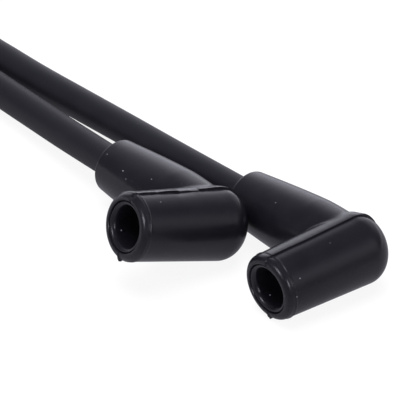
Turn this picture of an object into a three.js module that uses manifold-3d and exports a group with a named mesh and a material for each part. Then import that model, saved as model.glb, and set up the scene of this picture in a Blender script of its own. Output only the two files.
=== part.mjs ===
// Ignition lead: one cable with the same moulded elbow boot on each end, lying on a table.
// Millimetres, +Z up. The table is z = 0, and the origin is on it, midway between the boots.
// A boot has a barrel, open at its mouth and domed at its other end, and an arm that the cable enters.

import * as THREE from "three";
import { mergeVertices } from "three/addons/utils/BufferGeometryUtils.js";
import Module from "manifold-3d";

// Cable, and the conductor bared at each of its ends
const cableDiameter = 8;
const conductorDiameter = 2.4;

// Gap between a piece and the one it sits in
const clearance = 0.3;

// Boot barrel, measured from its mouth along its axis
const mouthDiameter = 17;
const barrelDiameter = 18.4;
const barrelLength = 27.4;
const domeDepth = 7.1;
const mouthRounding = 1.7;
const boreDiameter = 10.1;
const boreDepth = 15;
const lipDiameter = 11.8;
const lipDepth = 1;

// Boot arm, measured from the barrel's axis along its own axis
const armPlace = 25.1;
const armLength = 35.9;
const armLeanDeg = 5.5;
const armRootDiameter = 16.8;
const armShoulderDiameter = 17.7;
const armShoulderPlace = 12;
const armTipDiameter = 14;
const armTipRounding = 1.4;

// Flash where the two halves of the mould met, all round the barrel
const flashHeight = 0.25;
const flashThickness = 0.4;

// Terminal: a snap socket in the barrel, joined by a strap to two crimps in the arm
const sheet = 0.5;
const socketBore = 7;
const socketLength = 11;
const socketRecess = 1;
const beadPlace = 3.4;
const beadDepth = 0.3;
const slotWidth = 0.8;
const slotLength = 7;
const slotCount = 3;
const strapWidth = 3.4;
const crimpSeam = 1;
const coreCrimpPlace = 6.5;
const coreCrimpLength = 4.5;
const jacketCrimpPlace = 13.5;
const jacketCrimpLength = 8;
const cableEndPlace = 14.5;
const conductorTipPlace = 5.5;

// How each boot lies: the point over which its two axes cross, the way its arm points, counted from +X
// towards +Y, how far its mouth is raised, and how far the arm's tip dips
const plugBootPose = { x: 17.45, y: -28.75, heading: 92.3, mouthLift: -1.4, armDip: 3 };
const coilBootPose = { x: -1.05, y: 1.85, heading: 88.7, mouthLift: 17.9, armDip: 2.8 };

// Centre of the cable, from its end in the plug boot, along the table and back to its end in the coil boot
const cableRoute = [
  [16.87, -14.28, 8.7],
  [16.45, -3.8, 8.15],
  [16, 7.1, 7.6],
  [15.5, 20, 6.95],
  [14.8, 35, 6.35],
  [14.1, 52, 5.7],
  [13.4, 68, 5.05],
  [12.7, 84, 4.45],
  [12.5, 95, 4.15],
  [12.4, 104.1, 4.05],
  [14.5, 116.6, 4.05],
  [20.6, 127.8, 4.05],
  [30.1, 136.2, 4.05],
  [41.4, 146.7, 4.05],
  [48.2, 160.5, 4.05],
  [49.5, 175.8, 4.05],
  [45.2, 190.6, 4.05],
  [35.9, 202.9, 4.05],
  [22.8, 211, 4.05],
  [7.7, 213.8, 4.05],
  [-7.4, 211, 4.05],
  [-20.5, 202.9, 4.05],
  [-29.8, 190.6, 4.05],
  [-34.1, 175.8, 4.05],
  [-32.8, 160.5, 4.05],
  [-26, 146.7, 4.05],
  [-14.7, 136.2, 4.05],
  [-5.2, 127.8, 4.05],
  [0.9, 116.6, 4.05],
  [3, 104.1, 4.15],
  [2.8, 95, 4.45],
  [2.3, 84, 4.95],
  [1.7, 72, 5.6],
  [1, 60, 6.35],
  [0.4, 48, 7.25],
  [-0.24, 37.7, 8.2],
  [-0.48, 26.8, 8.73],
  [-0.72, 16.33, 9.25],
];

// Fineness of round surfaces
const roundSegments = 36;
const arcSteps = 4;
const domeSteps = 6;
const cableSides = 12;
const cableSteps = 64;

const bootRubber = { color: 0x1e1e21, roughness: 0.55, metalness: 0 };
const cableRubber = { color: 0x1b1c21, roughness: 0.5, metalness: 0 };
const platedSteel = { color: 0xb9b4a8, roughness: 0.35, metalness: 1 };
const carbonStrand = { color: 0x3a3836, roughness: 0.7, metalness: 0.2 };

const wasm = await Module();
wasm.setup();

const { degToRad } = THREE.MathUtils;
const bootLean = degToRad(armLeanDeg);
const chamberRadius = socketBore / 2 + sheet + clearance;
const chamberEnd = boreDepth + socketRecess + socketLength + clearance;
const jacketCrimpBore = cableDiameter / 2 + clearance;
const coreCrimpBore = conductorDiameter / 2 + clearance;
const armChamberRadius = jacketCrimpBore + sheet + clearance;
const armChamberEnd = jacketCrimpPlace + jacketCrimpLength + clearance;

function toSolid(geometry) {
  const bare = geometry.clone();
  bare.deleteAttribute("normal");
  bare.deleteAttribute("uv");
  const merged = mergeVertices(bare, 1e-5);
  return new wasm.Manifold(
    new wasm.Mesh({
      numProp: 3,
      vertProperties: new Float32Array(merged.attributes.position.array),
      triVerts: new Uint32Array(merged.index.array),
    }),
  );
}

function toGeometry(solid) {
  const mesh = solid.getMesh();
  const geometry = new THREE.BufferGeometry();
  geometry.setAttribute("position", new THREE.BufferAttribute(new Float32Array(mesh.vertProperties), 3));
  geometry.setIndex(new THREE.BufferAttribute(new Uint32Array(mesh.triVerts), 1));
  geometry.computeVertexNormals();
  return geometry;
}

// Round solid about +Y from [radius, place along Y] pairs, listed as the place rises
function turned(profile) {
  const points = profile.map(([radius, place]) => new THREE.Vector2(radius, place));
  return new THREE.LatheGeometry(points, roundSegments);
}

function rod(radius, from, to) {
  return turned([[0, from], [radius, from], [radius, to], [0, to]]);
}

// Tube about +Y that is open along its top by a seam
function crimp(bore, place, length) {
  const outer = bore + sheet;
  const end = place + length;
  const sleeve = turned([[bore, place], [outer, place], [outer, end], [bore, end], [bore, place]]);
  const seam = new THREE.BoxGeometry(crimpSeam, length + 2 * sheet, outer);
  seam.translate(0, place + length / 2, outer / 2 + coreCrimpBore / 2);
  return toSolid(sleeve).subtract(toSolid(seam));
}

// The boot's frame has the barrel along +X from its mouth, and the arm near +Y, leaning to the mouth
function alongBarrel(geometry) {
  return geometry.rotateZ(-Math.PI / 2);
}

function alongArm(geometry) {
  return geometry.rotateZ(bootLean).translate(armPlace, 0, 0);
}

// Points of a quarter ellipse, in steps from one end to the other
function quarter(steps, point) {
  return Array.from({ length: steps + 1 }, (_, step) => point((step / steps) * (Math.PI / 2)));
}

// Outside of the barrel, from the mouth's flat face to the tip of the dome, swollen by the given height
function barrelOutline(swell) {
  const mouthRadius = mouthDiameter / 2 + swell;
  const barrelRadius = barrelDiameter / 2 + swell;
  const mouthEdge = quarter(arcSteps, (angle) => [
    mouthRadius - mouthRounding * (1 - Math.sin(angle)),
    mouthRounding * (1 - Math.cos(angle)),
  ]);
  const dome = quarter(domeSteps, (angle) => [
    barrelRadius * Math.cos(angle),
    barrelLength + (domeDepth + swell) * Math.sin(angle),
  ]);
  dome[domeSteps][0] = 0;
  return [...mouthEdge, ...dome];
}

function armOutline() {
  const rootRadius = armRootDiameter / 2;
  const tipRadius = armTipDiameter / 2;
  const root = quarter(arcSteps, (angle) => [rootRadius * Math.sin(angle), -rootRadius * Math.cos(angle)]);
  root[0][0] = 0;
  const tipEdge = quarter(arcSteps, (angle) => [
    tipRadius - armTipRounding * (1 - Math.cos(angle)),
    armLength - armTipRounding * (1 - Math.sin(angle)),
  ]);
  return [...root, [armShoulderDiameter / 2, armShoulderPlace], ...tipEdge, [0, armLength]];
}

// Thin plate through the barrel's axis, square to the arm, that stands proud all round as the flash
function flashPlate() {
  const side = barrelOutline(flashHeight).map(([radius, place]) => new THREE.Vector2(place, radius));
  const otherSide = side.slice(0, -1).reverse().map((point) => new THREE.Vector2(point.x, -point.y));
  const plate = new THREE.ExtrudeGeometry(new THREE.Shape([...side, ...otherSide]), {
    depth: flashThickness,
    bevelEnabled: false,
  });
  return plate.translate(0, 0, -flashThickness / 2).rotateX(Math.PI / 2);
}

function bootSolid() {
  const boreRadius = boreDiameter / 2;
  const barrel = toSolid(alongBarrel(turned([[0, 0], ...barrelOutline(0)])));
  const arm = toSolid(alongArm(turned(armOutline())));
  const bore = alongBarrel(turned([
    [0, -lipDepth],
    [lipDiameter / 2, -lipDepth],
    [lipDiameter / 2, 0],
    [boreRadius, lipDepth],
    [boreRadius, boreDepth],
    [chamberRadius, boreDepth],
    [chamberRadius, chamberEnd],
    [0, chamberEnd],
  ]));
  const armBore = alongArm(turned([
    [0, 0],
    [armChamberRadius, 0],
    [armChamberRadius, armChamberEnd],
    [jacketCrimpBore, armChamberEnd],
    [jacketCrimpBore, armLength + clearance],
    [0, armLength + clearance],
  ]));
  const outside = barrel.add(arm).add(toSolid(flashPlate()));
  return outside.subtract(toSolid(bore)).subtract(toSolid(armBore));
}

// Cup that snaps on the post of the plug or coil: beaded, slotted round its open end
function socketSolid() {
  const inner = socketBore / 2;
  const outer = inner + sheet;
  const start = boreDepth + socketRecess;
  const end = start + socketLength;
  const bead = start + beadPlace;
  const cup = toSolid(alongBarrel(turned([
    [0, end - sheet],
    [inner, end - sheet],
    [inner, bead + 2 * beadDepth],
    [inner - beadDepth, bead],
    [inner, bead - 2 * beadDepth],
    [inner, start],
    [outer, start],
    [outer, bead - 2 * beadDepth],
    [outer - beadDepth, bead],
    [outer, bead + 2 * beadDepth],
    [outer, end],
    [0, end],
  ])));
  return Array.from({ length: slotCount }).reduce((solid, _, index) => {
    const slot = new THREE.BoxGeometry(slotLength, outer, slotWidth);
    slot.translate(start + slotLength / 2 - sheet, -outer / 2, 0);
    slot.rotateX((index / slotCount) * 2 * Math.PI);
    return solid.subtract(toSolid(slot));
  }, cup);
}

// Strap under the two crimps, from the socket's wall out to the jacket crimp
function strapSolid() {
  const top = -coreCrimpBore;
  const drop = jacketCrimpBore - coreCrimpBore;
  const coreEnd = coreCrimpPlace + coreCrimpLength;
  const outline = [
    [socketBore / 2 - sheet / 2, top],
    [coreEnd, top],
    [jacketCrimpPlace, top - drop],
    [jacketCrimpPlace + sheet, top - drop],
    [jacketCrimpPlace + sheet, top - drop - sheet],
    [jacketCrimpPlace, top - drop - sheet],
    [coreEnd, top - sheet],
    [socketBore / 2 - sheet / 2, top - sheet],
  ];
  const shape = new THREE.Shape(outline.map(([y, z]) => new THREE.Vector2(y, z)));
  const strap = new THREE.ExtrudeGeometry(shape, { depth: strapWidth, bevelEnabled: false });
  strap.translate(0, 0, -strapWidth / 2);
  strap.applyMatrix4(new THREE.Matrix4().makeBasis(
    new THREE.Vector3(0, 1, 0),
    new THREE.Vector3(0, 0, 1),
    new THREE.Vector3(1, 0, 0),
  ));
  return strap;
}

function terminalSolid() {
  const coreCrimp = crimp(coreCrimpBore, coreCrimpPlace, coreCrimpLength);
  const jacketCrimp = crimp(jacketCrimpBore, jacketCrimpPlace, jacketCrimpLength);
  const inArm = toGeometry(coreCrimp.add(jacketCrimp).add(toSolid(strapSolid())));
  return socketSolid().add(toSolid(alongArm(inArm)));
}

function conductorGeometry() {
  return alongArm(rod(conductorDiameter / 2, conductorTipPlace, cableEndPlace - clearance));
}

function cableGeometry() {
  const section = new THREE.Shape();
  section.absarc(0, 0, cableDiameter / 2, 0, 2 * Math.PI);
  const route = new THREE.CatmullRomCurve3(cableRoute.map((point) => new THREE.Vector3(...point)));
  return new THREE.ExtrudeGeometry(section, {
    curveSegments: cableSides / 2,
    steps: cableSteps,
    extrudePath: route,
  });
}

function named(name, geometry, look) {
  const mesh = new THREE.Mesh(geometry, new THREE.MeshStandardMaterial(look));
  mesh.name = name;
  return mesh;
}

// One end of the lead: its boot, terminal and bared conductor, turned as they lie and let down on the table
function leadEnd(prefix, pose) {
  const end = new THREE.Group();
  const boot = named(`${prefix}_boot`, toGeometry(bootSolid()), bootRubber);
  end.add(boot);
  end.add(named(`${prefix}_terminal`, toGeometry(terminalSolid()), platedSteel));
  end.add(named(`${prefix}_conductor_end`, conductorGeometry(), carbonStrand));
  for (const piece of end.children) {
    piece.position.x = -armPlace;
  }
  const turn = new THREE.Group();
  turn.rotation.z = -bootLean;
  turn.add(end);
  const placed = new THREE.Group();
  placed.rotation.set(-degToRad(pose.armDip), degToRad(pose.mouthLift), degToRad(pose.heading - 90), "ZXY");
  placed.add(turn);
  placed.updateMatrixWorld(true);
  const lowest = new THREE.Box3().setFromObject(boot, true).min.z;
  placed.position.set(pose.x, pose.y, -lowest);
  return placed;
}

const lead = new THREE.Group();
lead.add(leadEnd("plug", plugBootPose));
lead.add(leadEnd("coil", coilBootPose));
lead.add(named("ignition_cable", cableGeometry(), cableRubber));

export default lead;
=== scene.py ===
# Looks of an ignition lead: one thick cable with the same moulded elbow boot on each end.
# Metres, +Z up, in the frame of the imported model. The lead lies on a white table at z = 0.
# A boot has a barrel, open at its mouth and domed at its other end, and an arm that the cable enters.

import math

import bpy
import numpy as np
from mathutils import Matrix, Vector, noise
from mathutils.bvhtree import BVHTree


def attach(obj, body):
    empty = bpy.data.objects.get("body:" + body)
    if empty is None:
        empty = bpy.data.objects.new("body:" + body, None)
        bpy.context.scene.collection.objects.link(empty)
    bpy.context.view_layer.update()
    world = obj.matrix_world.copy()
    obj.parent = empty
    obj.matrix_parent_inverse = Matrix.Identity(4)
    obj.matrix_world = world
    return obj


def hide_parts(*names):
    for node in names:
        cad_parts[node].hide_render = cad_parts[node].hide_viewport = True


# Cable
cable_diameter = 0.008

# Boot barrel, measured from its mouth along its axis
mouth_radius = 0.0085
barrel_radius = 0.0092
barrel_length = 0.0274
dome_depth = 0.0071
mouth_rounding = 0.0017
bore_radius = 0.00505
bore_depth = 0.015
lip_radius = 0.00612
lip_depth = 0.0017
lip_crown = 0.0003

# Groove round the lip: how deep under the mouth's face each of its points is, and how far outside the lip
groove_outline = [
    (0.00038, 0.00005),
    (0.00102, 0.00007),
    (0.0011, 0.00014),
    (0.0011, 0.00027),
    (0.00102, 0.00034),
    (0.00014, 0.00037),
    (0.00003, 0.00044),
    (0, 0.00054),
]

# Boot arm, measured from the barrel's axis along its own axis
arm_place = 0.0251
arm_length = 0.0359
arm_lean = math.radians(5.5)
arm_root_radius = 0.0084
arm_shoulder_radius = 0.00885
arm_shoulder_place = 0.012
arm_tip_radius = 0.007
arm_tip_rounding = 0.0008
arm_taper = 1.25
corner_rounding = 0.0004

# Hollows behind the bore, which hold the terminal, and the hole that grips the cable. Each hollow is cut a
# little way into the one before it, and the hole a little past the arm's end.
chamber_radius = 0.0043
chamber_end = 0.0273
arm_chamber_radius = 0.0051
arm_chamber_end = 0.0218
cable_hole_radius = 0.00406
hollow_overlap = 0.0005
hole_overlap = 0.001

# How each boot lies: the point over which its two axes cross, the way its arm points, counted from +X
# towards +Y, how far its mouth is raised, and how far the arm's tip dips
boot_poses = {
    "plug_boot": {"x": 0.01745, "y": -0.02875, "heading": 92.3, "mouth_lift": -1.4, "arm_dip": 3},
    "coil_boot": {"x": -0.00105, "y": 0.00185, "heading": 88.7, "mouth_lift": 17.9, "arm_dip": 2.8},
}

# Where the two halves of a boot's mould met, along the top. The half on the arm's side stands proud of the
# other. Along the barrel, from its mouth: how far the seam lies towards the arm, how far the half on that
# side rises, and how far the other half drops. The edge is torn a little, the coil boot's more.
seam_reach = 0.0052
rise_reach = 0.0026
drop_reach = 0.0036
seam_lines = {
    "plug_boot": {
        "shift": [(0, 0.0003), (0.008, 0.0002), (0.012, 0), (0.034, 0)],
        "rise": [
            (0, 0),
            (0.001, 0.00008),
            (0.024, 0.00008),
            (0.029, 0.0001),
            (0.031, 0.00038),
            (0.0335, 0.0003),
        ],
        "drop": [
            (0, 0),
            (0.0012, 0.0001),
            (0.003, 0.00034),
            (0.026, 0.00034),
            (0.03, 0.0002),
            (0.0335, 0.0002),
        ],
        "torn": 0.00003,
    },
    "coil_boot": {
        "shift": [
            (0, 0.0005),
            (0.004, 0.0004),
            (0.009, 0.0002),
            (0.017, 0.0001),
            (0.0195, -0.0003),
            (0.0203, 0.0002),
            (0.028, 0.0003),
        ],
        "rise": [
            (0, 0),
            (0.0012, 0.00015),
            (0.005, 0.00025),
            (0.008, 0.00014),
            (0.0105, 0.0003),
            (0.0135, 0.00025),
            (0.0147, 0.00006),
            (0.02, 0.00004),
            (0.0203, 0.00027),
            (0.0215, 0.00022),
            (0.025, 0.0004),
            (0.0275, 0.0003),
            (0.031, 0.0001),
            (0.033, 0),
        ],
        "drop": [
            (0, 0),
            (0.0015, 0.0001),
            (0.0034, 0.00024),
            (0.0068, 0.00022),
            (0.0086, 0.00022),
            (0.0121, 0.0002),
            (0.0139, 0.00036),
            (0.0174, 0.00026),
            (0.0192, 0.00014),
            (0.021, 0.00024),
            (0.0246, 0.00023),
            (0.0282, 0.00024),
            (0.031, 0.0001),
            (0.033, 0),
        ],
        "torn": 0.0001,
    },
}

# The step itself, where the proud half ends: places across the seam, each with its side of it, the share of
# the step that its edge is rounded down by, and how far across it is torn
seam_step = [(-0.00003, "drop"), (-0.00001, "edge"), (0.00002, "rise"), (0.00007, "rise")]
edge_droop = 0.15
torn_reach = 0.0001

# Tearing of that edge, rough and fine: its waves in a metre, the row of the noise that it follows, and its
# share. Each boot follows another part of the noise, by how torn it is.
rough_tearing = {"waves": 700, "row": 0.3, "share": 0.6}
fine_tearing = {"waves": 2500, "row": 5.1, "share": 1.2}
boots_apart_in_noise = 1e5

# Ridge of flash where the halves met along the bottom, and the torn tab that it ends in at the mouth
ridge_height = 0.00025
ridge_thickness = 0.0004
ridge_steepness = 1.4
tab_height = 0.0004
tab_length = 0.0006
tab_place = 0.0011
tab_tearing = 0.8

# Small nick in the mouth's face, before the seam along the top
nick_across = -0.0007
nick_width = 0.00025
nick_depth = 0.0003

# Fine ridges round the mouth's edge: how far each is from the flat face, along the outline, and its height
# and width
edge_ridges = {
    "plug_boot": [(0.0035, 0.00018, 0.0002)],
    "coil_boot": [(0.00225, 0.00012, 0.0002), (0.00295, 0.00013, 0.0002)],
}

# How far the mouth's side away from the arm is pressed back, and how far along the barrel that is felt
pressed_back = {"plug_boot": 0.0008, "coil_boot": 0.00025}
pressed_reach = 0.008

# Specks of dust on the boots, each by its place across and down the photograph's points, and its width
photo_points = 400
dust_marks = {
    "bright speck on the coil boot's arm": (123, 170.9, 0.0003),
    "speck below it": (125.9, 179, 0.0002),
    "speck beside it": (151.5, 179.2, 0.00022),
    "speck by the arm's tip": (107.3, 154.2, 0.00022),
    "speck under the coil boot's seam": (160.8, 202, 0.0002),
    "speck on the plug boot's barrel": (330, 243, 0.00016),
    "speck on the plug boot's arm": (275.7, 202.7, 0.00016),
    "speck behind the plug boot's mouth": (300, 278.3, 0.00026),
    "speck low behind the plug boot's mouth": (296.9, 296.8, 0.0002),
    "speck in the coil boot's bore": (121.3, 230.5, 0.0003),
    "speck in the plug boot's bore": (270.2, 295, 0.0003),
}

# Outline of a speck: heights over the rubber, each with the radius there as a share of the speck's width
speck_outline = [(-0.00006, 0), (-0.00004, 0.45), (0.00003, 0.5), (0.0001, 0.3), (0.00013, 0)]

# Centre of the cable, from its end in the plug boot, over the table and back to its end in the coil boot
cable_route = [
    (0.01687, -0.01428, 0.0087),
    (0.01645, -0.0038, 0.00815),
    (0.016, 0.0071, 0.0076),
    (0.0155, 0.02, 0.00695),
    (0.0148, 0.035, 0.00635),
    (0.0141, 0.052, 0.0057),
    (0.0134, 0.068, 0.00505),
    (0.0127, 0.084, 0.00445),
    (0.0125, 0.095, 0.00415),
    (0.0124, 0.1041, 0.00405),
    (0.0145, 0.1166, 0.00405),
    (0.0206, 0.1278, 0.00405),
    (0.0301, 0.1362, 0.00405),
    (0.0414, 0.1467, 0.00405),
    (0.0482, 0.1605, 0.00405),
    (0.0495, 0.1758, 0.00405),
    (0.0452, 0.1906, 0.00405),
    (0.0359, 0.2029, 0.00405),
    (0.0228, 0.211, 0.00405),
    (0.0077, 0.2138, 0.00405),
    (-0.0074, 0.211, 0.00405),
    (-0.0205, 0.2029, 0.00405),
    (-0.0298, 0.1906, 0.00405),
    (-0.0341, 0.1758, 0.00405),
    (-0.0328, 0.1605, 0.00405),
    (-0.026, 0.1467, 0.00405),
    (-0.0147, 0.1362, 0.00405),
    (-0.0052, 0.1278, 0.00405),
    (0.0009, 0.1166, 0.00405),
    (0.003, 0.1041, 0.00415),
    (0.0028, 0.095, 0.00445),
    (0.0023, 0.084, 0.00495),
    (0.0017, 0.072, 0.0056),
    (0.001, 0.06, 0.00635),
    (0.0004, 0.048, 0.00725),
    (-0.00024, 0.0377, 0.0082),
    (-0.00048, 0.0268, 0.00873),
    (-0.00072, 0.01633, 0.00925),
]

# Fineness of the meshes: steps in each quarter round, points round each piece, and rows along it. The
# barrel's rows are close together over a stretch next to its mouth.
mouth_steps = 60
dome_steps = 40
ball_steps = 20
lip_steps = 12
tip_steps = 12
barrel_points = 120
arm_points = 128
chamber_points = 64
arm_hole_points = 96
speck_points = 10
cable_points = 64
bore_rows = 14
arm_root_rows = 30
arm_rows = 55
rows_between_route_points = 10
fine_stretch = 0.0017
fine_row = 0.00005
plain_row = 0.00025

# Corners sharper than this stay sharp in the smooth shading
boot_crease = math.radians(38)
round_crease = math.radians(60)

# Colours
boot_colour = (0.0086, 0.0082, 0.0106)
cable_colour = (0.0088, 0.0086, 0.0116)
dust_colour = (0.42, 0.42, 0.45)
bright_steel = (0.66, 0.64, 0.6)
dull_steel = (0.4, 0.38, 0.35)
dark_fibre = (0.008, 0.008, 0.008)
pale_fibre = (0.05, 0.048, 0.045)
table_colour = (0.8, 0.8, 0.8)
light_tint = (0.97, 0.96, 1.08)

# Rubber: its own finish on the boots and on the cable, with the depth of its grain
boot_finish = {"roughness": 0.23, "depth": 0.00004, "speck_amount": 0.1}
cable_finish = {"roughness": 0.47, "depth": 0.00003, "speck_amount": 0.1}

# All rubber: sizes of its grain and patches, how pale bloom and dust make it, and how much rougher
grain_size = 0.00035
patch_size = 0.005
bloom_paleness = 0.003
dust_paleness = 0.45
mote_share = 0.5
patch_roughness = 0.03
dust_roughness = 0.3

# Light: soft boxes, each by its azimuth and elevation in degrees, as view_direction has them, and strength
soft_boxes = [
    (-30, 4, 0.9),
    (0, 4, 0.95),
    (30, 4, 0.2),
    (-30, 24, 0.2),
    (0, 24, 0.4),
    (35, 24, 0.45),
    (-110, 25, 0.2),
    (110, 25, 0.5),
    (-140, 12, 0.08),
    (180, 12, 0.1),
    (140, 12, 0.08),
]
soft_box_sharpness = 20
room_light = 0.08

# Lamps: where the one overhead is from the middle of the view, and the azimuth and elevation of the two near
# the camera, which are a metre away
overhead_place = Vector((0, 0.08, 1.2))
left_lamp = (-135, 36)
right_lamp = (150, 26)

# Table: half its width. How brightly gloss shows it in front of the lead, near it and behind it, between
# which distances ahead in the view that changes, and the share of its real light that gloss keeps. Then the
# share and the strength of plain white in what the camera sees of it.
table_half_width = 3
table_glow_in_front = 0.14
table_glow_near = 0.38
table_glow_behind = 1.4
glow_comes_near = (-0.07, -0.01)
glow_goes_behind = (0.07, 0.16)
table_lit_in_gloss = 0.05
table_white_share = 0.85
table_white = 1.06

# The photograph's view: the point on the table at its middle, and the camera's place round that point
view_middle = Vector((0.01357, 0.0222, 0))
view_azimuth = math.radians(-40)
view_elevation = math.radians(33.945)
view_distance = 2.60823
view_lens = 958.9
sensor_width = 36

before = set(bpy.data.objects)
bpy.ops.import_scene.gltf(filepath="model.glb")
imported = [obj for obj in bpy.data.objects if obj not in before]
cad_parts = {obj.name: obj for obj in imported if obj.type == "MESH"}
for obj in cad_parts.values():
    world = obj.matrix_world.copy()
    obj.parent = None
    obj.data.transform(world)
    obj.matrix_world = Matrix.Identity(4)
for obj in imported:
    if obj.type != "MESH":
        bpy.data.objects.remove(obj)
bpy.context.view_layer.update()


# Meshes


def closed_mesh(name, rings, first_tip, last_tip):
    """Closed mesh through rings of equally many points, with a tip at either end."""
    around = rings.shape[1]
    points = np.concatenate([[first_tip], rings.reshape(-1, 3), [last_tip]])
    here = np.arange(around)
    beside = (here + 1) % around
    faces = [(0, 1 + b, 1 + a) for a, b in zip(here, beside)]
    for ring in range(len(rings) - 1):
        low = 1 + ring * around
        high = low + around
        faces += [(low + a, low + b, high + b, high + a) for a, b in zip(here, beside)]
    last = len(points) - 1
    top = 1 + (len(rings) - 1) * around
    faces += [(last, top + a, top + b) for a, b in zip(here, beside)]
    mesh = bpy.data.meshes.new(name)
    mesh.from_pydata(points.tolist(), [], [tuple(int(i) for i in face) for face in faces])
    mesh.update()
    piece = bpy.data.objects.new(name, mesh)
    bpy.context.scene.collection.objects.link(piece)
    return piece


def turned(name, outline, around):
    """Round closed mesh about +X from (place, radius) pairs. The first and last have no radius."""
    turns = np.linspace(0, 2 * math.pi, around, endpoint=False)
    places, radii = np.array(outline[1:-1]).T
    rings = np.stack(
        [
            np.repeat(places[:, None], around, 1),
            radii[:, None] * np.cos(turns),
            radii[:, None] * np.sin(turns),
        ],
        axis=-1,
    )
    return closed_mesh(name, rings, (outline[0][0], 0, 0), (outline[-1][0], 0, 0))


def combine(piece, other, operation):
    """Joins the other mesh to the piece, or cuts it out of the piece, and uses it up."""
    change = piece.modifiers.new("combine", "BOOLEAN")
    change.operation = operation
    change.solver = "MANIFOLD"
    change.object = other
    shapes = bpy.context.evaluated_depsgraph_get()
    made = bpy.data.meshes.new_from_object(piece.evaluated_get(shapes))
    piece.modifiers.clear()
    piece.data = made
    bpy.data.objects.remove(other)


def points_of(piece):
    points = np.empty(len(piece.data.vertices) * 3)
    piece.data.vertices.foreach_get("co", points)
    return points.reshape(-1, 3)


def move_points(piece, points):
    piece.data.vertices.foreach_set("co", points.ravel())
    piece.data.update()


def smooth_but_for(piece, angle):
    """Smooth shading with sharp edges where faces meet at more than the angle."""
    piece.data.shade_smooth()
    piece.data.set_sharp_from_angle(angle=angle)


# Boots


def quarter(steps, point):
    """Points of a quarter round, from the angle nought to a right angle."""
    return [point(angle) for angle in np.linspace(0, math.pi / 2, steps + 1)]


def swell(along, at, width):
    """One at a place, falling away smoothly on both sides of it."""
    return math.exp(-(((along - at) / width) ** 2))


def ridge_swell(node, along):
    """How far the mouth's fine ridges stand out at a distance along the outline from the flat face."""
    return sum(height * swell(along, at, width) for at, height, width in edge_ridges[node])


def mouth_edge(node):
    """Rounding from the mouth's flat face to the barrel's side, with its fine ridges."""

    def point(angle):
        radius = mouth_rounding + ridge_swell(node, mouth_rounding * angle)
        return (
            mouth_rounding - radius * math.cos(angle),
            mouth_radius - mouth_rounding + radius * math.sin(angle),
        )

    return quarter(mouth_steps, point)


def barrel_side(node):
    """Side of the barrel, slightly wider towards the dome, and the dome."""
    stretch_end = mouth_rounding + fine_stretch
    places = np.concatenate(
        [
            np.arange(mouth_rounding + fine_row, stretch_end, fine_row),
            np.arange(stretch_end, barrel_length, plain_row),
        ]
    )
    rounding_end = mouth_rounding * math.pi / 2
    widening = (barrel_radius - mouth_radius) / (barrel_length - mouth_rounding)
    side = [
        (
            place,
            mouth_radius
            + widening * (place - mouth_rounding)
            + ridge_swell(node, rounding_end + place - mouth_rounding),
        )
        for place in places
    ]
    dome = quarter(
        dome_steps,
        lambda angle: (
            barrel_length + dome_depth * math.sin(angle),
            barrel_radius * math.cos(angle),
        ),
    )
    return side + dome[:-1]


def barrel_inside():
    """Bore's floor and wall, the rounded lip at its mouth, and the groove out to the flat face."""
    floor = [(bore_depth, bore_radius * share) for share in (0.4, 0.8, 0.97)]
    wall = [(place, bore_radius) for place in np.linspace(bore_depth, lip_depth, bore_rows)]
    lip = quarter(
        lip_steps,
        lambda angle: (
            lip_depth - (lip_depth - lip_crown) * math.sin(angle),
            lip_radius - (lip_radius - bore_radius) * math.cos(angle),
        ),
    )
    groove = [(depth, lip_radius + outward) for depth, outward in groove_outline]
    return floor + wall + lip[1:] + groove


def seam_columns():
    """Places across the seam along the top, close together near it, each with its side of the seam."""
    columns = 14
    crowding = 1.8
    away = [seam_reach * (step / columns) ** crowding for step in range(columns, 0, -1)]
    nick = [nick_across + nick_width * step for step in (-1.5, -1, -0.5, 0, 0.5, 1)]
    before = [(place, "drop") for place in sorted([-place for place in away] + nick)]
    behind = [(place, "rise") for place in reversed(away)]
    return before + seam_step + behind


def barrel_columns():
    """Columns of points round the barrel, in order: turn, place across a seam, and which seam it is."""
    top = math.pi / 2
    bottom = 3 * math.pi / 2
    plain = np.linspace(0, 2 * math.pi, barrel_points, endpoint=False)
    ridge = ridge_thickness * np.array([-2, -1, -0.5, -0.3, 0, 0.3, 0.5, 1, 2])
    clear_of_seam = 1.02
    clear_of_ridge = 1.5
    clear_top = seam_reach / barrel_radius * clear_of_seam
    clear_bottom = ridge[-1] / barrel_radius * clear_of_ridge
    left = [(turn, 0, "none") for turn in plain if turn < top - clear_top]
    over = [(top - across / barrel_radius, across, side) for across, side in reversed(seam_columns())]
    right = [(turn, 0, "none") for turn in plain if top + clear_top < turn < bottom - clear_bottom]
    under = [(bottom + across / barrel_radius, across, "ridge") for across in ridge]
    rest = [(turn, 0, "none") for turn in plain if turn > bottom + clear_bottom]
    return left + over + right + under + rest


def fading(across, reach):
    """Falls smoothly from one at the seam to nothing at the reach."""
    return math.cos(min(1, abs(across) / reach) * math.pi / 2) ** 2


def tearing(node, place, kind):
    """Unevenness of a boot's torn edge at a place along its barrel, between -1 and 1."""
    boot_row = seam_lines[node]["torn"] * boots_apart_in_noise
    return noise.noise(Vector((place * kind["waves"], boot_row, kind["row"])))


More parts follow.
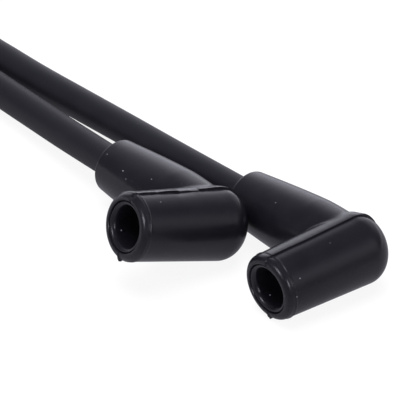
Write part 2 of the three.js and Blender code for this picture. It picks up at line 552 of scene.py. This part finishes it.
def barrel_mesh(node):
    """Barrel with its bore, its mouth and the traces of the mould."""
    inside = barrel_inside()
    outline = np.array(inside + mouth_edge(node) + barrel_side(node))
    slope = np.gradient(outline, axis=0)
    normal = np.stack([-slope[:, 1], slope[:, 0]], axis=-1)
    normal /= np.linalg.norm(normal, axis=1, keepdims=True)
    seam = seam_lines[node]
    columns = barrel_columns()
    rings = np.empty((len(outline), len(columns), 3))
    for row, (place, radius) in enumerate(outline):
        outer = row >= len(inside) - 1
        rough = tearing(node, place, rough_tearing)
        fine = tearing(node, place, fine_tearing)
        torn = rough_tearing["share"] * rough + fine_tearing["share"] * fine
        rise = np.interp(place, *np.transpose(seam["rise"])) + seam["torn"] * rough
        drop = np.interp(place, *np.transpose(seam["drop"]))
        shift = np.interp(place, *np.transpose(seam["shift"])) if outer else 0
        for column, (turn, across, side) in enumerate(columns):
            lift = 0.0
            lean = 0.0
            if outer and side == "drop":
                lift = -drop * fading(across, drop_reach)
            elif outer and side == "edge":
                lift = rise - edge_droop * (rise + drop)
            elif outer and side == "rise":
                lift = rise * fading(across, rise_reach)
            elif outer and side == "ridge":
                near = max(0, 1 - abs(across) / ridge_thickness)
                tab = tab_height * swell(place, tab_place, tab_length) * (1 + tab_tearing * fine)
                lift = (ridge_height + tab) * min(1, near * ridge_steepness) ** 2
            if outer and side in ("rise", "edge") and across < torn_reach:
                lean = seam["torn"] * torn
            if outer and place < mouth_rounding / 2 and side == "drop":
                lift -= nick_depth * swell(across, nick_across, nick_width)
            if side in ("drop", "rise", "edge"):
                lean -= shift * fading(across, seam_reach)
            spot = turn + lean / max(radius, bore_radius)
            x = place + normal[row, 0] * lift
            pressed = pressed_back[node] * (1 - math.cos(spot)) / 2
            x += pressed * max(0, 1 - place / pressed_reach)
            r = radius + normal[row, 1] * lift
            rings[row, column] = (x, r * math.cos(spot), r * math.sin(spot))
    dome_tip = (barrel_length + dome_depth, 0, 0)
    return closed_mesh(node + "_moulding", rings, (bore_depth, 0, 0), dome_tip)


def arm_outline():
    """Arm from the ball at its root, over its shoulder, to its rounded tip."""
    ball = quarter(
        ball_steps,
        lambda angle: (
            -arm_root_radius * math.cos(angle),
            arm_root_radius * math.sin(angle),
        ),
    )
    tip_start = arm_length - arm_tip_rounding
    rising = [
        (
            arm_shoulder_place * share,
            arm_root_radius + (arm_shoulder_radius - arm_root_radius) * math.sin(share * math.pi / 2),
        )
        for share in np.linspace(0, 1, arm_root_rows + 1)[1:]
    ]
    falling = [
        (
            arm_shoulder_place + (tip_start - arm_shoulder_place) * share,
            arm_shoulder_radius + (arm_tip_radius - arm_shoulder_radius) * share**arm_taper,
        )
        for share in np.linspace(0, 1, arm_rows + 1)[1:]
    ]
    tip = quarter(
        tip_steps,
        lambda angle: (
            tip_start + arm_tip_rounding * math.sin(angle),
            arm_tip_radius - arm_tip_rounding * (1 - math.cos(angle)),
        ),
    )
    face = [(arm_length, radius) for radius in (0.005, 0.0035, 0.0015, 0)]
    return ball + rising + falling + tip[1:] + face


def along_arm(piece):
    """Turns a mesh about +X to lie along the arm."""
    turn = Matrix.Rotation(math.pi / 2 + arm_lean, 4, "Z")
    piece.data.transform(Matrix.Translation((arm_place, 0, 0)) @ turn)
    return piece


def distance_to_outline(points, outline):
    """Distance of (place, radius) points from an outline, negative on its inner side."""
    corners = outline[:-1]
    edges = outline[1:] - corners
    best = np.full(len(points), np.inf)
    side = np.zeros(len(points))
    for corner, edge in zip(corners, edges):
        away = points - corner
        share = np.clip(away @ edge / (edge**2).sum(), 0, 1)
        apart = np.linalg.norm(away - share[:, None] * edge, axis=1)
        turned_to = np.sign(edge[0] * away[:, 1] - edge[1] * away[:, 0])
        nearer = apart < best
        best = np.where(nearer, apart, best)
        side = np.where(nearer, turned_to, side)
    return best * side


def fill_corner(piece, node, width):
    """Rounds out the corner between the barrel and the arm, by moving its points to a rounded surface."""
    rounds = 4
    small = 1e-6
    least_steepness = 0.2
    points = points_of(piece)
    barrel_line = np.array(mouth_edge(node) + barrel_side(node) + [(barrel_length + dome_depth, 0)])
    arm_line = np.array(arm_outline())
    turn_back = np.array(Matrix.Rotation(-math.pi / 2 - arm_lean, 3, "Z"))

    def distances(spots):
        on_barrel = np.stack([spots[:, 0], np.hypot(spots[:, 1], spots[:, 2])], axis=1)
        seen_by_arm = (spots - [arm_place, 0, 0]) @ turn_back.T
        on_arm = np.stack([seen_by_arm[:, 0], np.hypot(seen_by_arm[:, 1], seen_by_arm[:, 2])], axis=1)
        return distance_to_outline(on_barrel, barrel_line), distance_to_outline(on_arm, arm_line)

    def filled(spots):
        barrel, arm = distances(spots)
        mix = np.clip(0.5 + 0.5 * (arm - barrel) / width, 0, 1)
        return arm + (barrel - arm) * mix - width * mix * (1 - mix)

    barrel, arm = distances(points)
    near = (np.abs(barrel) < width) & (np.abs(arm) < width) & (points[:, 1] > seam_reach / 2)
    spots = points[near]
    for _ in range(rounds):
        value = filled(spots)
        nudged = [filled(spots + way * small) for way in np.eye(3)]
        slope = np.stack([(beside - value) / small for beside in nudged], axis=1)
        steepness = np.maximum((slope**2).sum(1), least_steepness)
        spots = spots - slope * (value / steepness)[:, None]
    points[near] = spots
    move_points(piece, points)


def boot_turn(pose):
    """How a boot is turned as it lies."""
    return (
        Matrix.Rotation(math.radians(pose["heading"] - 90), 3, "Z")
        @ Matrix.Rotation(-math.radians(pose["arm_dip"]), 3, "X")
        @ Matrix.Rotation(math.radians(pose["mouth_lift"]), 3, "Y")
        @ Matrix.Rotation(-arm_lean, 3, "Z")
    )


def boot_crossing(node, pose, turn):
    """Where a boot's two axes cross. Its height comes from the solid's mouth, square to the barrel."""
    corners = np.array([corner.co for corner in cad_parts[node].data.vertices])
    over = np.array((pose["x"], pose["y"], 0))
    along = np.array(turn.col[0])
    mouth = ((corners - over) @ along).min()
    return Vector((pose["x"], pose["y"], (mouth + arm_place) / along[2]))


def make_boot(node):
    pose = boot_poses[node]
    boot = barrel_mesh(node)
    combine(boot, along_arm(turned("arm", arm_outline(), arm_points)), "UNION")
    fill_corner(boot, node, corner_rounding)
    chamber_start = bore_depth - hollow_overlap
    chamber = [
        (chamber_start, 0),
        (chamber_start, chamber_radius),
        (chamber_end, chamber_radius),
        (chamber_end, 0),
    ]
    combine(boot, turned("chamber", chamber, chamber_points), "DIFFERENCE")
    hole_end = arm_length + hole_overlap
    arm_hole = [
        (0, 0),
        (0, arm_chamber_radius),
        (arm_chamber_end, arm_chamber_radius),
        (arm_chamber_end, cable_hole_radius),
        (hole_end, cable_hole_radius),
        (hole_end, 0),
    ]
    combine(boot, along_arm(turned("arm_hole", arm_hole, arm_hole_points)), "DIFFERENCE")
    turn = boot_turn(pose)
    crossing = boot_crossing(node, pose, turn)
    place = Matrix.Translation(crossing) @ turn.to_4x4() @ Matrix.Translation((-arm_place, 0, 0))
    boot.data.transform(place)
    points = points_of(boot)
    points[:, 2] = np.maximum(points[:, 2], 0)
    move_points(boot, points)
    smooth_but_for(boot, boot_crease)
    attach(boot, "root")
    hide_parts(node)
    return boot


def photo_ray(across, down):
    """Where the camera is, and the direction from it to a place in the photograph."""
    back = camera_back()
    right = Vector((math.cos(view_azimuth), math.sin(view_azimuth), 0))
    upward = back.cross(right)
    points_away = view_lens / sensor_width * photo_points
    middle = photo_points / 2
    direction = right * (across - middle) - upward * (down - middle) - back * points_away
    return view_middle + back * view_distance, direction.normalized()


def faces_of(piece, start=0):
    """Faces of a mesh by the numbers of their corners, counted on from the start."""
    return [tuple(start + corner for corner in face.vertices) for face in piece.data.polygons]


def make_dust(boots):
    """Low closed specks of dust, each on the boot that the photograph shows it on."""
    skins = [BVHTree.FromPolygons(points_of(boot), faces_of(boot)) for boot in boots]
    specks = []
    for across, down, width in dust_marks.values():
        eye, direction = photo_ray(across, down)
        hits = [hit for hit in (skin.ray_cast(eye, direction) for skin in skins) if hit[0] is not None]
        place, normal, _, _ = min(hits, key=lambda hit: hit[3])
        outline = [(height, width * share) for height, share in speck_outline]
        speck = turned("speck", outline, speck_points)
        turn = Vector((1, 0, 0)).rotation_difference(normal).to_matrix().to_4x4()
        speck.data.transform(Matrix.Translation(place) @ turn)
        specks.append(speck)
    points = np.concatenate([points_of(speck) for speck in specks])
    faces = []
    start = 0
    for speck in specks:
        faces += faces_of(speck, start)
        start += len(speck.data.vertices)
        bpy.data.objects.remove(speck)
    mesh = bpy.data.meshes.new("dust")
    mesh.from_pydata(points.tolist(), [], faces)
    mesh.update()
    dust_piece = bpy.data.objects.new("dust", mesh)
    bpy.context.scene.collection.objects.link(dust_piece)
    smooth_but_for(dust_piece, round_crease)
    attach(dust_piece, "root")
    return dust_piece


# Cable


def smooth_route(points, between):
    """Smooth curve through the points, in even steps between each two: a centripetal Catmull-Rom curve."""
    route = [Vector(point) for point in points]
    route = [2 * route[0] - route[1]] + route + [2 * route[-1] - route[-2]]
    line = []
    for before, here, there, after in zip(route, route[1:], route[2:], route[3:]):
        gap_before = (here - before).length ** 0.5
        gap = (there - here).length ** 0.5
        gap_after = (after - there).length ** 0.5
        straight = (there - here) / gap
        leave = (here - before) / gap_before - (there - before) / (gap_before + gap) + straight
        arrive = straight - (after - here) / (gap + gap_after) + (after - there) / gap_after
        leave *= gap
        arrive *= gap
        for step in range(between):
            t = step / between
            bend = -3 * here + 3 * there - 2 * leave - arrive
            turn_back = 2 * here - 2 * there + leave + arrive
            line.append(here + leave * t + bend * t**2 + turn_back * t**3)
    line.append(route[-2])
    return line


def make_cable():
    line = smooth_route(cable_route, rows_between_route_points)
    turns = np.linspace(0, 2 * math.pi, cable_points, endpoint=False)
    radius = cable_diameter / 2
    across = Vector((1, 0, 0))
    rings = []
    for index, point in enumerate(line):
        ahead = line[min(index + 1, len(line) - 1)] - line[max(index - 1, 0)]
        ahead.normalize()
        across = (across - ahead * across.dot(ahead)).normalized()
        upward = ahead.cross(across)
        ring = [
            point + across * (radius * math.cos(turn)) + upward * (radius * math.sin(turn))
            for turn in turns
        ]
        rings.append(ring)
    cable = closed_mesh("cable_jacket", np.array(rings), line[0], line[-1])
    smooth_but_for(cable, round_crease)
    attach(cable, "root")
    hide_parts("ignition_cable")
    return cable


# Materials


def node_group(name, inputs, outputs):
    """Shader node group with number sockets: inputs with their usual values, and outputs."""
    group = bpy.data.node_groups.new(name, "ShaderNodeTree")
    for label, value in inputs.items():
        socket = group.interface.new_socket(label, in_out="INPUT", socket_type="NodeSocketFloat")
        socket.default_value = value
    for label in outputs:
        group.interface.new_socket(label, in_out="OUTPUT", socket_type="NodeSocketFloat")
    given = group.nodes.new("NodeGroupInput").outputs
    made = group.nodes.new("NodeGroupOutput").inputs
    return group, given, made


def maths(tree, operation, *values):
    """Math node with the operation, whose values are numbers or sockets."""
    node = tree.nodes.new("ShaderNodeMath")
    node.operation = operation
    for socket, value in zip(node.inputs, values):
        if isinstance(value, (int, float)):
            socket.default_value = value
        else:
            tree.links.new(value, socket)
    return node.outputs[0]


def spread(tree, value, low, high, new_low, new_high):
    """Takes the range low to high of a value smoothly to new_low to new_high."""
    node = tree.nodes.new("ShaderNodeMapRange")
    node.interpolation_type = "SMOOTHSTEP"
    for socket, number in zip(node.inputs, (value, low, high, new_low, new_high)):
        if isinstance(number, (int, float)):
            socket.default_value = number
        else:
            tree.links.new(number, socket)
    return node.outputs[0]


def cloud(tree, size, detail, stretch=(1, 1, 1)):
    """Noise from 0 to 1 whose patches have about the size, stretched along the axes."""
    place = tree.nodes.new("ShaderNodeTexCoord")
    shape = tree.nodes.new("ShaderNodeMapping")
    shape.inputs["Scale"].default_value = stretch
    noise_node = tree.nodes.new("ShaderNodeTexNoise")
    noise_node.inputs["Detail"].default_value = detail
    tree.links.new(place.outputs["Object"], shape.inputs["Vector"])
    tree.links.new(shape.outputs["Vector"], noise_node.inputs["Vector"])
    scale = maths(tree, "DIVIDE", 1, size)
    tree.links.new(scale, noise_node.inputs["Scale"])
    return noise_node.outputs["Fac"]


def moulded_grain():
    """Fine grain that rubber takes from its mould or die, and the broad uneven sheen over it."""
    inputs = {"Grain Size": 0.0003, "Patch Size": 0.004}
    group, given, made = node_group("moulded_grain", inputs, ["Height", "Patches"])
    coarseness = 5
    fine_share = 0.4
    fine = cloud(group, given["Grain Size"], 2)
    coarse = cloud(group, maths(group, "MULTIPLY", given["Grain Size"], coarseness), 3)
    fine_height = maths(group, "MULTIPLY", fine, fine_share)
    coarse_height = maths(group, "MULTIPLY", coarse, 1 - fine_share)
    group.links.new(maths(group, "ADD", fine_height, coarse_height), made["Height"])
    patches = cloud(group, given["Patch Size"], 4)
    group.links.new(spread(group, patches, 0.35, 0.65, 0.0, 1.0), made["Patches"])
    return group


def dust_specks():
    """Scattered round specks, white on the mask. Amount is the share of places that hold one."""
    inputs = {"Spacing": 0.002, "Size": 0.0002, "Amount": 0.3}
    group, given, made = node_group("dust_specks", inputs, ["Mask"])
    place = group.nodes.new("ShaderNodeTexCoord")
    cells = group.nodes.new("ShaderNodeTexVoronoi")
    group.links.new(place.outputs["Object"], cells.inputs["Vector"])
    group.links.new(maths(group, "DIVIDE", 1, given["Spacing"]), cells.inputs["Scale"])
    chance = group.nodes.new("ShaderNodeSeparateColor")
    group.links.new(cells.outputs["Color"], chance.inputs["Color"])
    apart = maths(group, "MULTIPLY", cells.outputs["Distance"], given["Spacing"])
    reach = maths(group, "MULTIPLY", given["Size"], maths(group, "ADD", chance.outputs["Green"], 0.5))
    round_spot = spread(group, maths(group, "DIVIDE", apart, reach), 0.5, 1.0, 1.0, 0.0)
    present = maths(group, "LESS_THAN", chance.outputs["Red"], given["Amount"])
    group.links.new(maths(group, "MULTIPLY", round_spot, present), made["Mask"])
    return group


def placed(tree, group, **values):
    """The group's outputs in a material's tree, with its inputs set."""
    node = tree.nodes.new("ShaderNodeGroup")
    node.node_tree = group
    for label, value in values.items():
        node.inputs[label.replace("_", " ")].default_value = value
    return node.outputs


def tinted(tree, mask, under, over):
    """Colour that goes from one to the other by a mask."""
    node = tree.nodes.new("ShaderNodeMix")
    node.data_type = "RGBA"
    tree.links.new(mask, node.inputs["Factor"])
    node.inputs[6].default_value = (*under, 1)
    node.inputs[7].default_value = (*over, 1)
    return node.outputs[2]


def bumped(tree, skin, height, depth):
    """Bump of the given depth in metres on a shader."""
    node = tree.nodes.new("ShaderNodeBump")
    node.inputs["Distance"].default_value = depth
    tree.links.new(height, node.inputs["Height"])
    tree.links.new(node.outputs["Normal"], skin.inputs["Normal"])


def material(name):
    made = bpy.data.materials.new(name)
    made.use_nodes = True
    return made, made.node_tree, made.node_tree.nodes["Principled BSDF"]


def rubber(name, colour, grain, dust, roughness, depth, speck_amount):
    """Black rubber with its moulded grain, a thin uneven bloom and specks of dust."""
    made, tree, skin = material(name)
    surface = placed(tree, grain, Grain_Size=grain_size, Patch_Size=patch_size)
    specks = placed(tree, dust, Spacing=0.0028, Size=0.00016, Amount=speck_amount)
    motes = placed(tree, dust, Spacing=0.0009, Size=0.00007, Amount=speck_amount)
    bloom = maths(tree, "MULTIPLY", surface["Patches"], bloom_paleness)
    dusty = maths(tree, "MAXIMUM", specks["Mask"], maths(tree, "MULTIPLY", motes["Mask"], mote_share))
    pale = maths(tree, "MAXIMUM", bloom, maths(tree, "MULTIPLY", dusty, dust_paleness))
    tree.links.new(tinted(tree, pale, colour, dust_colour), skin.inputs["Base Color"])
    uneven = maths(tree, "MULTIPLY_ADD", surface["Patches"], patch_roughness, roughness)
    rough = maths(tree, "MULTIPLY_ADD", dusty, dust_roughness, uneven)
    tree.links.new(rough, skin.inputs["Roughness"])
    bumped(tree, skin, surface["Height"], depth)
    return made


def plated_steel():
    """Plated sheet steel, with the fine lines of its rolling and a few dull patches."""
    least_roughness = 0.22
    line_roughness = 0.15
    patch_dulling = 0.2
    line_depth = 0.000008
    made, tree, skin = material("plated_steel")
    skin.inputs["Metallic"].default_value = 1
    lines = cloud(tree, 0.0004, 3, (1, 1, 0.04))
    patches = cloud(tree, 0.002, 3)
    dull = spread(tree, patches, 0.45, 0.7, 0.0, 1.0)
    tree.links.new(tinted(tree, dull, bright_steel, dull_steel), skin.inputs["Base Color"])
    streaked = maths(tree, "MULTIPLY_ADD", lines, line_roughness, least_roughness)
    rough = maths(tree, "MULTIPLY_ADD", dull, patch_dulling, streaked)
    tree.links.new(rough, skin.inputs["Roughness"])
    bumped(tree, skin, lines, line_depth)
    return made


def carbon_strand():
    """Bundle of fine fibres soaked with carbon."""
    fibre_depth = 0.00006
    made, tree, skin = material("carbon_strand")
    fibres = cloud(tree, 0.0002, 2, (1, 0.05, 1))
    tree.links.new(tinted(tree, fibres, dark_fibre, pale_fibre), skin.inputs["Base Color"])
    skin.inputs["Roughness"].default_value = 0.7
    bumped(tree, skin, fibres, fibre_depth)
    return made


def pale_dust():
    """Matt grey dust."""
    made, tree, skin = material("pale_dust")
    skin.inputs["Base Color"].default_value = (*dust_colour, 1)
    skin.inputs["Roughness"].default_value = 0.9
    return made


def dress(piece, finish):
    piece.data.materials.clear()
    piece.data.materials.append(finish)


# Stage


def view_direction(azimuth, elevation):
    """Direction by its angles in degrees, from straight ahead in the view to its right, and upward."""
    turn = view_azimuth - math.radians(azimuth)
    rise = math.radians(elevation)
    return Vector((-math.sin(turn) * math.cos(rise), math.cos(turn) * math.cos(rise), math.sin(rise)))


def make_floor():
    """White table with the lead's shadow on it. Gloss shows it dim before the lead and bright behind."""
    reach = table_half_width
    corners = [(-reach, -reach, 0), (reach, -reach, 0), (reach, reach, 0), (-reach, reach, 0)]
    mesh = bpy.data.meshes.new("table")
    mesh.from_pydata(corners, [], [(0, 1, 2, 3)])
    floor = bpy.data.objects.new("table", mesh)
    bpy.context.scene.collection.objects.link(floor)
    made, tree, skin = material("white_table")
    skin.inputs["Base Color"].default_value = (*table_colour, 1)
    skin.inputs["Roughness"].default_value = 0.9
    skin.inputs["Specular IOR Level"].default_value = 0
    ray = tree.nodes.new("ShaderNodeLightPath").outputs
    place = tree.nodes.new("ShaderNodeNewGeometry")
    ahead = tree.nodes.new("ShaderNodeVectorMath")
    ahead.operation = "DOT_PRODUCT"
    ahead.inputs[1].default_value = view_direction(0, 0)
    tree.links.new(place.outputs["Position"], ahead.inputs[0])
    distance = ahead.outputs["Value"]
    nearer = spread(tree, distance, *glow_comes_near, table_glow_in_front, table_glow_near)
    farther = spread(tree, distance, *glow_goes_behind, 0, table_glow_behind - table_glow_near)
    seen_in_gloss = maths(tree, "ADD", nearer, farther)
    mirrored = maths(tree, "MAXIMUM", ray["Is Glossy Ray"], ray["Is Transmission Ray"])
    glow = tree.nodes.new("ShaderNodeEmission")
    glow.inputs["Color"].default_value = (*light_tint, 1)
    tree.links.new(seen_in_gloss, glow.inputs["Strength"])
    white = tree.nodes.new("ShaderNodeEmission")
    white.inputs["Strength"].default_value = table_white
    to_camera = tree.nodes.new("ShaderNodeMixShader")
    to_gloss = tree.nodes.new("ShaderNodeMixShader")
    white_seen = maths(tree, "MULTIPLY", ray["Is Camera Ray"], table_white_share)
    glow_seen = maths(tree, "MULTIPLY", mirrored, 1 - table_lit_in_gloss)
    tree.links.new(white_seen, to_camera.inputs["Fac"])
    tree.links.new(skin.outputs["BSDF"], to_camera.inputs[1])
    tree.links.new(white.outputs["Emission"], to_camera.inputs[2])
    tree.links.new(glow_seen, to_gloss.inputs["Fac"])
    tree.links.new(to_camera.outputs["Shader"], to_gloss.inputs[1])
    tree.links.new(glow.outputs["Emission"], to_gloss.inputs[2])
    tree.links.new(to_gloss.outputs["Shader"], tree.nodes["Material Output"].inputs["Surface"])
    mesh.materials.append(made)


def light_room():
    """Dim room with soft boxes, the strongest low behind the lead, and white where the camera sees it."""
    world = bpy.data.worlds.new("room")
    bpy.context.scene.world = world
    world.use_nodes = True
    tree = world.node_tree
    tree.nodes.clear()
    place = tree.nodes.new("ShaderNodeTexCoord").outputs["Generated"]
    total = room_light
    for azimuth, elevation, strength in soft_boxes:
        facing = tree.nodes.new("ShaderNodeVectorMath")
        facing.operation = "DOT_PRODUCT"
        facing.inputs[1].default_value = view_direction(azimuth, elevation)
        tree.links.new(place, facing.inputs[0])
        towards = facing.outputs["Value"]
        off_centre = maths(tree, "MULTIPLY_ADD", towards, soft_box_sharpness, -soft_box_sharpness)
        box = maths(tree, "MULTIPLY", maths(tree, "EXPONENT", off_centre), strength)
        total = maths(tree, "ADD", box, total)
    seen = tree.nodes.new("ShaderNodeBackground")
    lighting = tree.nodes.new("ShaderNodeBackground")
    lighting.inputs["Color"].default_value = (*light_tint, 1)
    tree.links.new(total, lighting.inputs["Strength"])
    seen.inputs["Color"].default_value = (1, 1, 1, 1)
    ray = tree.nodes.new("ShaderNodeLightPath")
    mix = tree.nodes.new("ShaderNodeMixShader")
    out = tree.nodes.new("ShaderNodeOutputWorld")
    tree.links.new(ray.outputs["Is Camera Ray"], mix.inputs["Fac"])
    tree.links.new(lighting.outputs["Background"], mix.inputs[1])
    tree.links.new(seen.outputs["Background"], mix.inputs[2])
    tree.links.new(mix.outputs["Shader"], out.inputs["Surface"])


def soft_lamp(name, place, size, power, in_gloss):
    """Round area lamp that points at the lead. One that is out of the gloss only gives even light."""
    light = bpy.data.lights.new(name, "AREA")
    light.shape = "DISK"
    light.size = size
    light.energy = power
    light.color = light_tint
    lamp = bpy.data.objects.new(name, light)
    lamp.location = place
    lamp.rotation_euler = (Vector(place) - view_middle).to_track_quat("Z", "Y").to_euler()
    lamp.visible_glossy = in_gloss
    bpy.context.scene.collection.objects.link(lamp)


def camera_back():
    """Direction from the middle of the view to the camera."""
    return Vector(
        (
            math.sin(view_azimuth) * math.cos(view_elevation),
            -math.cos(view_azimuth) * math.cos(view_elevation),
            math.sin(view_elevation),
        )
    )


def make_camera():
    data = bpy.data.cameras.new("camera")
    data.sensor_width = sensor_width
    data.lens = view_lens
    data.clip_start = 0.1
    data.clip_end = 20
    camera = bpy.data.objects.new("camera", data)
    camera.location = view_middle + camera_back() * view_distance
    camera.rotation_euler = (math.pi / 2 - view_elevation, 0, view_azimuth)
    bpy.context.scene.collection.objects.link(camera)
    bpy.context.scene.camera = camera


make_camera()
cable = make_cable()
plug_boot = make_boot("plug_boot")
coil_boot = make_boot("coil_boot")
grain = moulded_grain()
dust = dust_specks()
boot_rubber = rubber("moulded_rubber", boot_colour, grain, dust, **boot_finish)
cable_rubber = rubber("jacket_rubber", cable_colour, grain, dust, **cable_finish)
steel = plated_steel()
strand = carbon_strand()
dress(cable, cable_rubber)
for boot in (plug_boot, coil_boot):
    dress(boot, boot_rubber)
dress(make_dust((plug_boot, coil_boot)), pale_dust())
for node in ("plug_terminal", "coil_terminal"):
    dress(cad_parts[node], steel)
for node in ("plug_conductor_end", "coil_conductor_end"):
    dress(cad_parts[node], strand)
make_floor()
light_room()
above = view_middle + overhead_place
on_the_left = view_middle + view_direction(*left_lamp)
on_the_right = view_middle + view_direction(*right_lamp)
soft_lamp("overhead", above, size=1.2, power=20, in_gloss=False)
soft_lamp("left_of_the_camera", on_the_left, size=0.36, power=2, in_gloss=True)
soft_lamp("right_of_the_camera", on_the_right, size=0.3, power=1.5, in_gloss=True)
bpy.context.scene.view_settings.view_transform = "Standard"
